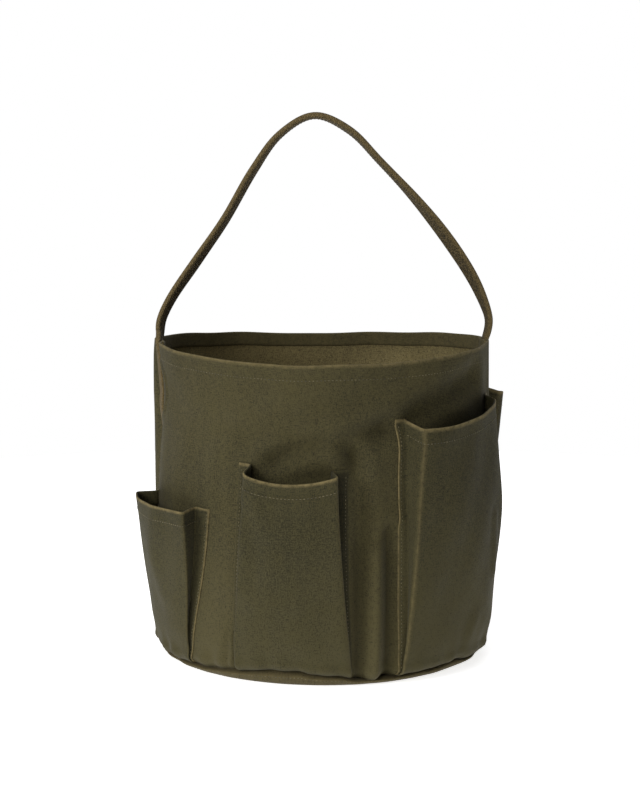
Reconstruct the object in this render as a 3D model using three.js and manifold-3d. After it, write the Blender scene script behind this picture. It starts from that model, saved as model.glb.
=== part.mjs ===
// Garden tool bag: a round canvas bucket bag with bellows pockets around it and one webbing handle.
// Millimetres, +Z up. The origin is the centre of the base, on the surface that the bag stands on.
// X runs from seam to seam along the handle, and the front of the bag faces -Y.

import * as THREE from 'three';
import { mergeVertices } from 'three/addons/utils/BufferGeometryUtils.js';
import Module from 'manifold-3d';

const wasm = await Module();
wasm.setup();

// ---- driving dimensions ----

const GAP = 0.3; // clearance between pieces that touch
const ROUND_STEPS = 72; // facets around the bag

const bag = { radius: 150, height: 278, footRadius: 143, tuckHeight: 80 };
const wall = { cloth: 1.6, hemHeight: 14, hemCloth: 3, levels: [20, 36, 52, 66, 80] };
const base = { cloth: 2, seamHeight: 9, threadDrop: 2 };
const strap = { width: 17, thickness: 5.6, chamfer: 1.4, hingeRise: 9, steps: 56, endFacets: 24 };
const strapEnd = { length: 73, thickness: 2.6 };
const thread = { size: 0.7, rimDrop: 12.5, hemDrop: 12, seamTurn: 4.5, inset: 3, margin: 2, strapStart: 15 };
const tack = { width: 11, height: 15, drop: 8 };

// Each pocket: where it starts and ends around the bag in degrees from the front centre, positive
// towards +X, at its mouth and at its foot, the height of its mouth, how far the mouth stands off the
// wall, and how far its middle sags.
const pockets = [
  { name: 'pocket_low_front', mouth: [-82, -40], foot: [-84, -49], height: 146, depth: 19, sag: 2 },
  { name: 'pocket_middle_front', mouth: [-29.5, 9.5], foot: [-31, 11], height: 186, depth: 21, sag: 5 },
  { name: 'pocket_tall_front', mouth: [24.5, 79], foot: [26, 77], height: 230, depth: 21, sag: 6 },
  { name: 'pocket_tall_back', mouth: [94.5, 149], foot: [96, 146], height: 232, depth: 17, sag: 5 },
  { name: 'pocket_middle_back', mouth: [165, 203], foot: [163, 204], height: 188, depth: 20, sag: 5 },
  { name: 'pocket_low_back', mouth: [212, 245], foot: [213, 243], height: 146, depth: 19, sag: 3 },
];
const pocketCloth = { thickness: 1.5, flange: 7, footLift: 2.2, crown: 1.2, flare: 0.8 };
const pocketMesh = { faceSteps: 8, stepHeight: 22 };

const wallFoot = base.cloth + GAP;
const pocketFoot = base.seamHeight + GAP;
const hingeHeight = bag.height + strap.hingeRise;

// The handle's centre line in the plane of the side seams, as X and Z, from left rim to right rim.
const handleLine = [
  [-148, hingeHeight],
  [-147.5, 297],
  [-138, 317.5],
  [-112.5, 354],
  [-87.5, 390],
  [-61.5, 434.5],
  [-38, 466],
  [-7, 483],
  [25, 469.5],
  [51, 443.5],
  [84.5, 408],
  [113.5, 372],
  [137, 336],
  [149, 309],
  [151.5, 297],
  [151, hingeHeight],
];

// ---- materials ----

function canvasMaterial() {
  return new THREE.MeshStandardMaterial({ color: 0x4b4731, roughness: 0.88, metalness: 0 });
}

function baseCanvasMaterial() {
  return new THREE.MeshStandardMaterial({ color: 0x47432c, roughness: 0.9, metalness: 0 });
}

function webbingMaterial() {
  return new THREE.MeshStandardMaterial({ color: 0x564d37, roughness: 0.85, metalness: 0 });
}

function threadMaterial() {
  return new THREE.MeshStandardMaterial({ color: 0x77704f, roughness: 0.7, metalness: 0 });
}

// ---- solids and helpers ----

function signedVolume(geometry) {
  const position = geometry.attributes.position;
  const index = geometry.index;
  const [a, b, c] = [new THREE.Vector3(), new THREE.Vector3(), new THREE.Vector3()];
  let sum = 0;
  for (let i = 0; i < index.count; i += 3) {
    a.fromBufferAttribute(position, index.getX(i));
    b.fromBufferAttribute(position, index.getX(i + 1));
    c.fromBufferAttribute(position, index.getX(i + 2));
    sum += a.dot(b.cross(c));
  }
  return sum;
}

// Merges shared corners and turns the faces outwards.
function closedGeometry(geometry) {
  const bare = geometry.clone();
  bare.deleteAttribute('normal');
  bare.deleteAttribute('uv');
  const merged = mergeVertices(bare, 1e-4);
  if (signedVolume(merged) < 0) {
    const index = merged.index;
    for (let i = 0; i < index.count; i += 3) {
      const first = index.getX(i);
      index.setX(i, index.getX(i + 1));
      index.setX(i + 1, first);
    }
  }
  return merged;
}

function toSolid(geometry) {
  const closed = closedGeometry(geometry);
  const vertProperties = new Float32Array(closed.attributes.position.array);
  const triVerts = new Uint32Array(closed.index.array);
  return new wasm.Manifold(new wasm.Mesh({ numProp: 3, vertProperties, triVerts }));
}

function toGeometry(solid) {
  const mesh = solid.getMesh();
  const geometry = new THREE.BufferGeometry();
  geometry.setAttribute('position', new THREE.BufferAttribute(mesh.vertProperties, 3));
  geometry.setIndex(new THREE.BufferAttribute(mesh.triVerts, 1));
  return geometry;
}

function addPiece(group, name, geometry, material) {
  const closed = closedGeometry(geometry);
  closed.computeVertexNormals();
  const piece = new THREE.Mesh(closed, material);
  piece.name = name;
  group.add(piece);
}

// A ring or disc about the bag's axis, from a profile of radius and height.
function turned(profile) {
  const points = profile.map(([radius, height]) => new THREE.Vector2(radius, height));
  return new THREE.LatheGeometry(points, ROUND_STEPS).rotateX(Math.PI / 2);
}

// The part of a ring that lies in front of (side -1) or behind (side +1) the side seams.
function halfOf(geometry, side, clearance) {
  const reach = 2 * bag.radius;
  const block = new THREE.BoxGeometry(2 * reach, reach, 2 * reach);
  block.translate(0, side * (reach / 2 + clearance), 0);
  return toGeometry(toSolid(geometry).intersect(toSolid(block)));
}

// Outer radius of the wall: straight above, tucked in towards the base below.
function wallRadius(height) {
  const rise = THREE.MathUtils.clamp(height / bag.tuckHeight, 0, 1);
  return bag.footRadius + (bag.radius - bag.footRadius) * Math.sin(rise * Math.PI / 2);
}

// Bends a geometry onto the wall. Its x is the distance around the bag from startAngle, its y the
// distance off the wall, and its z the height.
function wrapOnWall(geometry, startAngle, standOff) {
  const position = geometry.attributes.position;
  for (let i = 0; i < position.count; i += 1) {
    const height = position.getZ(i);
    const angle = startAngle + position.getX(i) / bag.radius;
    placeOnWall(position, i, angle, wallRadius(height) + standOff(position.getY(i)), height);
  }
  return geometry;
}

function placeOnWall(position, i, angle, radius, height) {
  position.setXYZ(i, radius * Math.sin(angle), -radius * Math.cos(angle), height);
}

// ---- walls and base ----

function wallRing() {
  const hemFoot = bag.height - wall.hemHeight;
  const outside = [wallFoot, ...wall.levels, bag.height].map((height) => [wallRadius(height), height]);
  const inside = [wallFoot, ...wall.levels, hemFoot - 1];
  const lining = inside.map((height) => [wallRadius(height) - wall.cloth, height]).reverse();
  const hem = [bag.height, hemFoot].map((height) => [bag.radius - wall.hemCloth, height]);
  return turned([...outside, ...hem, ...lining, outside[0]]);
}

function basePanel() {
  return turned([[0, 0], [bag.footRadius, 0], [bag.footRadius, base.cloth], [0, base.cloth]]);
}

// ---- pockets ----

// Levels across the cloth of a pocket: under and over the sewn flange, inside and outside the face.
const LEVEL = { flangeUnder: 0, flangeOver: 1, faceInside: 2, faceOutside: 3 };

function pocketWidth(pocket) {
  return THREE.MathUtils.degToRad(pocket.mouth[1] - pocket.mouth[0]) * bag.radius;
}

function pocketSteps(pocket) {
  return Math.ceil(pocket.height / pocketMesh.stepHeight);
}

// How far up a pocket a height lies, 0 at the base seam and 1 at the mouth.
function pocketRise(pocket, height) {
  return THREE.MathUtils.clamp((height - pocketFoot) / (pocket.height - pocketFoot), 0, 1);
}

// How far the pocket's face stands off: more towards the mouth, and a little more in the middle.
function pocketLift(pocket, rise, across) {
  const crown = pocketCloth.crown * Math.sin(across * Math.PI);
  return pocketCloth.footLift + (pocket.depth - pocketCloth.footLift) * rise ** pocketCloth.flare + crown;
}

// Bends a flat pocket onto the wall. Its x is the distance along the mouth, its y a level or, in
// between and beyond, a distance off the cloth, and its z the height.
function wrapPocket(geometry, pocket, standOff) {
  const position = geometry.attributes.position;
  const width = pocketWidth(pocket);
  for (let i = 0; i < position.count; i += 1) {
    const height = position.getZ(i);
    const across = position.getX(i) / width;
    const rise = pocketRise(pocket, height);
    const start = THREE.MathUtils.lerp(pocket.foot[0], pocket.mouth[0], rise);
    const end = THREE.MathUtils.lerp(pocket.foot[1], pocket.mouth[1], rise);
    const angle = THREE.MathUtils.degToRad(THREE.MathUtils.lerp(start, end, across));
    const sagged = height - pocket.sag * rise * Math.sin(across * Math.PI);
    const radius = wallRadius(sagged) + GAP + standOff(position.getY(i), rise, across);
    placeOnWall(position, i, angle, radius, sagged);
  }
  return geometry;
}

// The plan of a pocket: two flanges on the wall, two side walls and the face between them.
function pocketPlan(width) {
  const { thickness, flange } = pocketCloth;
  const { faceSteps } = pocketMesh;
  const [left, right] = [flange, width - flange];
  const plan = new THREE.Shape();
  plan.moveTo(0, LEVEL.flangeUnder);
  plan.lineTo(left + thickness, LEVEL.flangeUnder);
  for (let i = 0; i <= faceSteps; i += 1) {
    const along = THREE.MathUtils.lerp(left + thickness, right - thickness, i / faceSteps);
    plan.lineTo(along, LEVEL.faceInside);
  }
  plan.lineTo(right - thickness, LEVEL.flangeUnder);
  plan.lineTo(width, LEVEL.flangeUnder);
  plan.lineTo(width, LEVEL.flangeOver);
  plan.lineTo(right, LEVEL.flangeOver);
  for (let i = 0; i <= faceSteps; i += 1) {
    plan.lineTo(THREE.MathUtils.lerp(right, left, i / faceSteps), LEVEL.faceOutside);
  }
  plan.lineTo(left, LEVEL.flangeOver);
  plan.lineTo(0, LEVEL.flangeOver);
  return plan;
}

function pocketPanel(pocket) {
  const foot = pocketFoot + GAP;
  const settings = { depth: pocket.height - foot, steps: pocketSteps(pocket), bevelEnabled: false };
  const geometry = new THREE.ExtrudeGeometry(pocketPlan(pocketWidth(pocket)), settings);
  geometry.translate(0, 0, foot);
  return wrapPocket(geometry, pocket, (level, rise, across) => {
    const lift = level >= LEVEL.faceInside ? pocketLift(pocket, rise, across) : 0;
    const over = level === LEVEL.flangeOver || level === LEVEL.faceOutside;
    return lift + (over ? pocketCloth.thickness : 0);
  });
}

// The thread that holds the turned hem across the pocket's mouth.
function pocketHemThread(pocket) {
  const { flange, thickness } = pocketCloth;
  const length = pocketWidth(pocket) - 2 * (flange + thread.margin);
  const geometry = new THREE.BoxGeometry(length, thread.size, thread.size, pocketMesh.faceSteps, 1, 1);
  geometry.translate(flange + thread.margin + length / 2, thread.size / 2 + GAP, pocket.height - thread.hemDrop);
  return wrapPocket(geometry, pocket, (off, rise, across) => {
    return thickness + pocketLift(pocket, rise, across) + off;
  });
}

// The thread that sews one flange of a pocket to the wall; side 0 is its start, side 1 its end.
function pocketFlangeThread(pocket, side) {
  const foot = pocketFoot + thread.margin;
  const length = pocket.height - foot - thread.margin;
  const along = side === 0 ? thread.inset : pocketWidth(pocket) - thread.inset;
  const geometry = new THREE.BoxGeometry(thread.size, thread.size, length, 1, 1, pocketSteps(pocket));
  geometry.translate(along, thread.size / 2 + GAP, foot + length / 2);
  return wrapPocket(geometry, pocket, (off) => pocketCloth.thickness + off);
}

// ---- handle ----

function handlePath() {
  const points = handleLine.map(([x, z]) => new THREE.Vector3(x, 0, z));
  return new THREE.CatmullRomCurve3(points, false, 'centripetal');
}

// The folded webbing's section: its width lies across the bag, its thickness along the seam plane.
function webbingSection() {
  const [w, t, c] = [strap.width / 2, strap.thickness / 2, strap.chamfer];
  const corners = [[w - c, -t], [w, c - t], [w, t - c], [w - c, t], [c - w, t], [-w, t - c], [-w, c - t], [c - w, -t]];
  return new THREE.Shape(corners.map(([x, y]) => new THREE.Vector2(x, y)));
}

// The webbing ends in a half-round about the line that it turns on.
function roundEnd(x) {
  const end = new THREE.CylinderGeometry(strap.width / 2, strap.width / 2, strap.thickness, strap.endFacets);
  return end.rotateZ(Math.PI / 2).translate(x, 0, hingeHeight);
}

function handleStrap() {
  const settings = { steps: strap.steps, extrudePath: handlePath() };
  const loop = toSolid(new THREE.ExtrudeGeometry(webbingSection(), settings));
  const left = toSolid(roundEnd(handleLine[0][0]));
  const right = toSolid(roundEnd(handleLine[handleLine.length - 1][0]));
  return toGeometry(loop.add(left).add(right));
}

// The thread along the open edge of the folded webbing, clear of both ends.
function handleThread() {
  const [across, off, s] = [strap.width / 2 - thread.inset, strap.thickness / 2 + GAP, thread.size];
  const corners = [[across, off], [across + s, off], [across + s, off + s], [across, off + s]];
  const section = new THREE.Shape(corners.map(([x, y]) => new THREE.Vector2(x, y)));
  const line = toSolid(new THREE.ExtrudeGeometry(section, { steps: strap.steps, extrudePath: handlePath() }));
  const block = new THREE.BoxGeometry(3 * bag.radius, 4 * strap.width, bag.height);
  block.translate(0, 0, hingeHeight + thread.strapStart + bag.height / 2);
  return toGeometry(line.intersect(toSolid(block)));
}

// The flat end of the webbing, sewn down the side seam below the rim; side -1 left, +1 right.
function strapEndStrip(side) {
  const strip = new THREE.BoxGeometry(strapEnd.thickness, strap.width, strapEnd.length);
  const x = side * (bag.radius + GAP + strapEnd.thickness / 2);
  return strip.translate(x, 0, bag.height - GAP - strapEnd.length / 2);
}

// A rectangle of stitching over the strap's sewn end.
function strapTack(side) {
  const outline = new THREE.Shape();
  const [w, h] = [tack.width / 2, tack.height / 2];
  outline.moveTo(-w, -h).lineTo(w, -h).lineTo(w, h).lineTo(-w, h);
  const inside = new THREE.Path();
  const [iw, ih] = [w - thread.size, h - thread.size];
  inside.moveTo(-iw, -ih).lineTo(-iw, ih).lineTo(iw, ih).lineTo(iw, -ih);
  outline.holes.push(inside);
  const ring = new THREE.ExtrudeGeometry(outline, { depth: thread.size, bevelEnabled: false });
  ring.rotateX(Math.PI / 2).rotateZ(Math.PI / 2);
  const face = bag.radius + 2 * GAP + strapEnd.thickness;
  const x = side > 0 ? face : -face - thread.size;
  return ring.translate(x, 0, bag.height - tack.drop - h);
}

// ---- wall threads ----

function threadRing(radius, height) {
  const s = thread.size;
  const inner = radius + GAP;
  return turned([[inner, height], [inner + s, height], [inner + s, height + s], [inner, height + s], [inner, height]]);
}

function seamThread(side) {
  const [foot, top] = [pocketFoot + thread.margin, bag.height - wall.hemHeight - 2 * thread.margin];
  const geometry = new THREE.BoxGeometry(thread.size, thread.size, top - foot, 1, 1, 12);
  geometry.translate(0, thread.size / 2 + GAP, (top + foot) / 2);
  const angle = side * (Math.PI / 2 - THREE.MathUtils.degToRad(thread.seamTurn));
  return wrapOnWall(geometry, angle, (off) => off);
}

// ---- assembly ----

function addBody(group) {
  const ring = wallRing();
  addPiece(group, 'front_panel', halfOf(ring, -1, GAP / 2), canvasMaterial());
  addPiece(group, 'back_panel', halfOf(ring, 1, GAP / 2), canvasMaterial());
  addPiece(group, 'base_panel', basePanel(), baseCanvasMaterial());
}

function addPockets(group) {
  for (const pocket of pockets) {
    addPiece(group, pocket.name, pocketPanel(pocket), canvasMaterial());
    addPiece(group, `${pocket.name}_hem_thread`, pocketHemThread(pocket), threadMaterial());
    addPiece(group, `${pocket.name}_left_thread`, pocketFlangeThread(pocket, 0), threadMaterial());
    addPiece(group, `${pocket.name}_right_thread`, pocketFlangeThread(pocket, 1), threadMaterial());
  }
}

function addHandle(group) {
  addPiece(group, 'handle_strap', handleStrap(), webbingMaterial());
  addPiece(group, 'handle_edge_thread', handleThread(), threadMaterial());
  for (const [side, word] of [[-1, 'left'], [1, 'right']]) {
    addPiece(group, `strap_end_${word}`, strapEndStrip(side), webbingMaterial());
    addPiece(group, `strap_tack_${word}`, strapTack(side), threadMaterial());
  }
}

function addWallThreads(group) {
  const rimRing = threadRing(bag.radius, bag.height - thread.rimDrop);
  const clearOfStrap = strap.width / 2 + 2 * thread.margin;
  addPiece(group, 'rim_thread_front', halfOf(rimRing, -1, clearOfStrap), threadMaterial());
  addPiece(group, 'rim_thread_back', halfOf(rimRing, 1, clearOfStrap), threadMaterial());
  addPiece(group, 'side_seam_thread_left', seamThread(-1), threadMaterial());
  addPiece(group, 'side_seam_thread_right', seamThread(1), threadMaterial());
  const baseSeam = threadRing(wallRadius(base.seamHeight), base.seamHeight - base.threadDrop);
  addPiece(group, 'base_seam_thread', baseSeam, threadMaterial());
}

const gardenToolBag = new THREE.Group();
gardenToolBag.name = 'garden_tool_bag';
addBody(gardenToolBag);
addPockets(gardenToolBag);
addHandle(gardenToolBag);
addWallThreads(gardenToolBag);

export default gardenToolBag;
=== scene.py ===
"""The looks of a garden tool bag: heavy canvas walls, bellows pockets, a round base and one handle of
folded webbing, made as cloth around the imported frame. Metres, +Z up, and the front faces -Y."""

import math

import bpy
import numpy as np
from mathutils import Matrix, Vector


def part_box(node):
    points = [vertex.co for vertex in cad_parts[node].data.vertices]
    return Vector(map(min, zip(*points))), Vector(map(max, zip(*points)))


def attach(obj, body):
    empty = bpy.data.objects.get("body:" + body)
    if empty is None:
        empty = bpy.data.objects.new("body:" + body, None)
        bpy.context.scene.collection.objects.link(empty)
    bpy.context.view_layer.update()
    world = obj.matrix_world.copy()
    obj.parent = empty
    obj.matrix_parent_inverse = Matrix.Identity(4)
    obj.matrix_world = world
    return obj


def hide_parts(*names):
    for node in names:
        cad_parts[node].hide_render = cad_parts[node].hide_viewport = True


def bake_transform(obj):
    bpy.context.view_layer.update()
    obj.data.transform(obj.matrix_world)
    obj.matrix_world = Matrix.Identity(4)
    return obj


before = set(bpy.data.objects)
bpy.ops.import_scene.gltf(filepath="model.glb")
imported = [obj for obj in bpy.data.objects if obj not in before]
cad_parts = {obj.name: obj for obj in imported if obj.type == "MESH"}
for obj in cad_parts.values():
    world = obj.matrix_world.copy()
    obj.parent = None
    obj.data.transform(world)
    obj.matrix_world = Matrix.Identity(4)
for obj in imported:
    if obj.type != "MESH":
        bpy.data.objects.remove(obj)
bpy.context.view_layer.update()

MM = 0.001

# ---- sizes from the frame ----

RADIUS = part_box("front_panel")[1].x
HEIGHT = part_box("front_panel")[1].z
FOOT_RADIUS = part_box("base_panel")[1].x
STRAP_TAIL_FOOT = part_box("strap_end_left")[0].z

# ---- cloth and thread ----

CANVAS = 0.95 * MM  # thickness
TURN = 0.5 * MM  # radius of a folded edge, to the middle of the cloth
HEM = 12 * MM
TUCK_HEIGHT = 42 * MM  # the wall tucks in towards the base below this
SEAM = 9 * MM  # mean height of the base seam
SEAM_REACH = 45 * MM  # how far above the base seam the wall follows its ups and downs
STITCH_PITCH = 3.2 * MM
STITCH_LENGTH = 2.3 * MM
THREAD = 0.34 * MM  # radius
RIM_STITCH_DROP = 12.3 * MM
POCKET_STITCH_DROP = 11.8 * MM
PRESSED = 0.25 * MM  # how deep a tight stitch sinks in the cloth
WALL_MIDDLE = -CANVAS / 2  # the wall's outer face lies at offset 0
LAP = 4.2 * MM  # how far the front panel stands out over the strap's sewn end on the right


# ---- small maths ----

def bell(x, centre, width):
    return np.exp(-(((x - centre) / width) ** 2))


def ramp(x, low, high):
    """Smooth step from 0 at low to 1 at high."""
    t = np.clip((x - low) / (high - low), 0, 1)
    return t * t * (3 - 2 * t)


def lerp(a, b, t):
    return a + (b - a) * t


def turned_degrees(angle):
    """Degrees from the front centre, from -180 to 180."""
    return (np.degrees(angle) + 180) % 360 - 180


def smooth_curve(degrees, knots):
    """A smooth closed curve through given (degrees, value) knots."""
    x = np.array([k[0] for k in knots], float)
    y = np.array([k[1] for k in knots], float)
    x = np.concatenate([x - 360, x, x + 360])
    y = np.concatenate([y, y, y])
    i = np.clip(np.searchsorted(x, degrees) - 1, 0, len(x) - 2)
    t = (degrees - x[i]) / (x[i + 1] - x[i])
    return lerp(y[i], y[i + 1], t * t * (3 - 2 * t))


def distance_to_line(across, up, points):
    """Distance from each (across, up) to a polyline, all in metres."""
    best = np.full(np.broadcast(across, up).shape, 1.0)
    for (x0, y0), (x1, y1) in zip(points, points[1:]):
        dx, dy = x1 - x0, y1 - y0
        t = np.clip(((across - x0) * dx + (up - y0) * dy) / (dx * dx + dy * dy), 0, 1)
        best = np.minimum(best, np.hypot(across - x0 - t * dx, up - y0 - t * dy))
    return best


def smoothed(line):
    """A line with each inner point moved towards its neighbours."""
    result = line.copy()
    result[1:-1] = (line[:-2] + 2 * line[1:-1] + line[2:]) / 4
    return result


# ---- the shape of the bag ----

# Height of the base seam around the bag, as (degrees from the front, millimetres).
SEAM_KNOTS = [
    (-150, 9), (-120, 7), (-90, 6), (-67, 4), (-45, 5), (-30, 8.5), (-18, 12), (-8, 12.5), (-3, 9.5),
    (5, 8.5), (13, 4), (24, 4.5), (37, 5.5), (53, 7.5), (60, 4), (75, 5), (100, 8), (130, 6), (165, 10),
]

# Soft valleys in the front wall as (degrees, height in mm) lines, with a depth and a width in mm.
VALLEYS = [
    ([(60, 256), (46, 249), (32, 236), (20, 220), (10, 203)], 6.6, 11.5),
    ([(10, 203), (12.5, 150), (11.5, 90), (12.2, 14)], 5.4, 8),
    ([(20, 226), (4, 214), (-8, 206), (-15, 197)], 5.2, 8),
    ([(22.4, 134), (22.8, 70), (22.3, 12)], 6.2, 7),
    ([(17, 116), (17, 14)], -3.6, 6.5),
    ([(-23, 155), (-19, 118), (-21, 92)], 1.8, 7),
    ([(-58, 140), (-62, 100), (-60, 66)], -1.2, 9),
    ([(66, 132), (68, 80)], -1.4, 5),
    ([(52, 16), (57, 46)], -1.4, 6),
    ([(-29.6, 44), (-30.6, 6)], 2.8, 2.2),
    ([(-34, 16), (-31, 44)], 1.4, 4),
    ([(26, 268), (8, 246), (-6, 230), (-24, 214)], 2.2, 11),
    ([(-74, 264), (-67, 252), (-64.5, 238), (-66.5, 222), (-76, 206)], -1.1, 2.2),
    ([(-62, 250), (-48, 214), (-44, 170)], 1.2, 15),
    ([(52, 250), (60, 236)], 1.6, 10),
    ([(150, 240), (170, 214), (200, 206)], 2.4, 14),
    ([(236, 236), (222, 190), (228, 150)], 2.0, 14),
]


def seam_height(angle):
    return smooth_curve(turned_degrees(angle), SEAM_KNOTS) * MM


def rim_height(angle):
    """The rim droops at the front and back and is pulled up at the handle."""
    wave = 0.35 * np.sin(5 * angle + 1) + 0.3 * np.sin(9 * angle + 0.5) + 0.2 * np.sin(14 * angle)
    return HEIGHT + (-0.4 - 4.1 * np.cos(2 * angle) + wave) * MM


def wall_radius(height):
    rise = np.clip(height / TUCK_HEIGHT, 0, 1)
    return FOOT_RADIUS + (RADIUS + 0.8 * MM - FOOT_RADIUS) * np.sin(rise * math.pi / 2) ** 0.9


# The side seams, which the strap's ends lie in, as (height in mm, degrees from the front), and how
# deep each one is pulled in, as (height in mm, depth in mm).
SEAM_LINES = {
    "left": [(0, -80), (205, -80.5), (235, -80), (246, -81.2), (265, -84.5), (280, -87.7)],
    "right": [(0, 90), (205, 91.5), (255, 91), (280, 90.3)],
}
SEAM_DEPTHS = {
    "left": [
        (0, 0), (30, 0.5), (110, 0.8), (150, 1.5), (185, 3.8), (205, 6.2), (217, 7), (235, 8.8),
        (265, 6.5), (280, 5.5),
    ],
    "right": [(0, 0), (30, 0.5), (110, 3), (200, 5.5), (230, 7), (262, 5), (280, 4)],
}


def at_height(knots, height):
    return np.interp(height / MM, [k[0] for k in knots], [k[1] for k in knots])


def seam_pinch(angle, height):
    """The side seams pull the wall in to a narrow flat floor, and the cloth swells behind them."""
    total = 0
    for side, sign, wide, swell in (("left", 1, 6.5, 2.9), ("right", -1, 4.5, 0.4)):
        forward = sign * (turned_degrees(angle) - at_height(SEAM_LINES[side], height))
        beyond = np.maximum(np.abs(forward) - 3.2, 0)
        depth = at_height(SEAM_DEPTHS[side], height)
        total = total + depth * bell(beyond, 0, np.where(forward > 0, wide, 2.2))
        total = total - swell * bell(forward, -10.5, 6) * ramp(height, 25 * MM, 110 * MM)
    return -total * MM


def hand_marks(angle, height):
    """Slow unevenness and soft valleys that handling leaves in heavy cloth."""
    up = height / MM
    slow = 0.7 * np.sin(3 * angle + 2 + up / 60) + 0.5 * np.sin(7 * angle - up / 45 + 1)
    slow = slow + 0.32 * np.sin(13 * angle + up / 24 + 4) + 0.2 * np.sin(21 * angle - up / 19)
    total = slow * ramp(up, 8, 60)
    for line, depth, width in VALLEYS:
        points = [(math.radians(d) * RADIUS, h * MM) for d, h in line]
        centre = math.radians(line[0][0]) * RADIUS
        across = (angle * RADIUS - centre + math.pi * RADIUS) % (2 * math.pi * RADIUS)
        away = distance_to_line(across + centre - math.pi * RADIUS, height, points) / MM
        total = total - depth * bell(away, 0, width) + 0.25 * depth * bell(away, 1.9 * width, width)
    pucker = 0.9 * np.sin(31 * angle + 1.5) + 0.7 * np.sin(47 * angle)
    return (total + pucker * bell(up, 14, 12)) * MM


def wall_point(angle, height, off):
    """A point off the wall's outer face. The height is the nominal one before the rim's droop. The
    wall turns in sharply at the base seam, with a soft roll of cloth just over it."""
    angle, height, off = np.broadcast_arrays(angle, height, off)
    above = np.maximum(height - SEAM, 0)
    radius = wall_radius(height) + seam_pinch(angle, height) + hand_marks(angle, height)
    radius = radius - 7 * MM * np.exp(-above / (2.1 * MM)) + 2.0 * MM * bell(above, 6.5 * MM, 4.5 * MM)
    radius = radius + off
    droop = (rim_height(angle) - HEIGHT) * np.clip(height / HEIGHT, 0, 1) ** 2
    lift = (seam_height(angle) - SEAM) * np.clip(1 - above / SEAM_REACH, 0, 1)
    return np.stack([radius * np.sin(angle), -radius * np.cos(angle), height + droop + lift], axis=-1)


# ---- building cloth ----

def grid_normals(grid):
    rows = np.gradient(grid, axis=0)
    columns = np.gradient(grid, axis=1)
    normal = np.cross(columns, rows)
    return normal / np.maximum(np.linalg.norm(normal, axis=-1, keepdims=True), 1e-12)


def edge_loop(rows, columns):
    """Row and column of each point around a grid's border, in order."""
    top = [(0, j) for j in range(columns - 1)]
    right = [(i, columns - 1) for i in range(rows - 1)]
    bottom = [(rows - 1, j) for j in range(columns - 1, 0, -1)]
    left = [(i, 0) for i in range(rows - 1, 0, -1)]
    return top + right + bottom + left


def new_piece(name, points, faces, attributes, uv, material, body="bag"):
    mesh = bpy.data.meshes.new(name)
    mesh.from_pydata(points.tolist(), [], faces)
    mesh.polygons.foreach_set("use_smooth", [True] * len(faces))
    for key, values in attributes.items():
        layer = mesh.attributes.new(key, "FLOAT", "POINT")
        layer.data.foreach_set("value", np.ascontiguousarray(values, np.float32))
    if uv is not None:
        corner = np.empty(len(mesh.loops), np.int32)
        mesh.loops.foreach_get("vertex_index", corner)
        layer = mesh.uv_layers.new(name="cloth")
        layer.data.foreach_set("uv", np.ascontiguousarray(uv[corner], np.float32).ravel())
    mesh.materials.append(material)
    piece = bpy.data.objects.new(name, mesh)
    bpy.context.scene.collection.objects.link(piece)
    if body:
        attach(piece, body)
    return piece


def cloth(name, grid, wear_and_painted_shading, uv, material):
    """A closed sheet of cloth, with rounded edges, around the grid of points of its middle. Its wear and
    painted shading is 1 where the cloth is rubbed light, and below 0 for painted shade in a deep fold."""
    rows, columns = grid.shape[:2]
    count = rows * columns
    normal = grid_normals(grid) * (CANVAS / 2)
    over, under = (grid + normal).reshape(-1, 3), (grid - normal).reshape(-1, 3)
    loop = edge_loop(rows, columns)
    inward = [(min(max(i, 1), rows - 2), min(max(j, 1), columns - 2)) for i, j in loop]
    at = np.array([i * columns + j for i, j in loop])
    inner = np.array([i * columns + j for i, j in inward])
    flat = grid.reshape(-1, 3)
    out = flat[at] - flat[inner]
    out /= np.maximum(np.linalg.norm(out, axis=1, keepdims=True), 1e-12)
    border = flat[at] + out * (0.35 * CANVAS)
    points = np.concatenate([over, under, border])
    index = np.arange(count).reshape(rows, columns)
    a, b = index[:-1, :-1].ravel(), index[:-1, 1:].ravel()
    c, d = index[1:, 1:].ravel(), index[1:, :-1].ravel()
    faces = np.stack([a, b, c, d], 1).tolist()
    faces += np.stack([d + count, c + count, b + count, a + count], 1).tolist()
    n = len(loop)
    for k in range(n):
        p, q = int(at[k]), int(at[(k + 1) % n])
        r, s = 2 * count + k, 2 * count + (k + 1) % n
        faces.append((q, p, r, s))
        faces.append((s, r, p + count, q + count))
    wear_and_painted_shading = np.concatenate([wear_and_painted_shading.ravel(), wear_and_painted_shading.ravel(), wear_and_painted_shading.ravel()[at]])
    # The reverse side is marked for the material's painted light.
    lining = np.concatenate([np.zeros(count), np.ones(count), np.zeros(n)])
    flat_uv = uv.reshape(-1, 2)
    uv = np.concatenate([flat_uv, flat_uv, flat_uv[at]])
    return new_piece(name, points, faces, {"wear_and_painted_shading": wear_and_painted_shading, "lining": lining}, uv, material)


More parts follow.
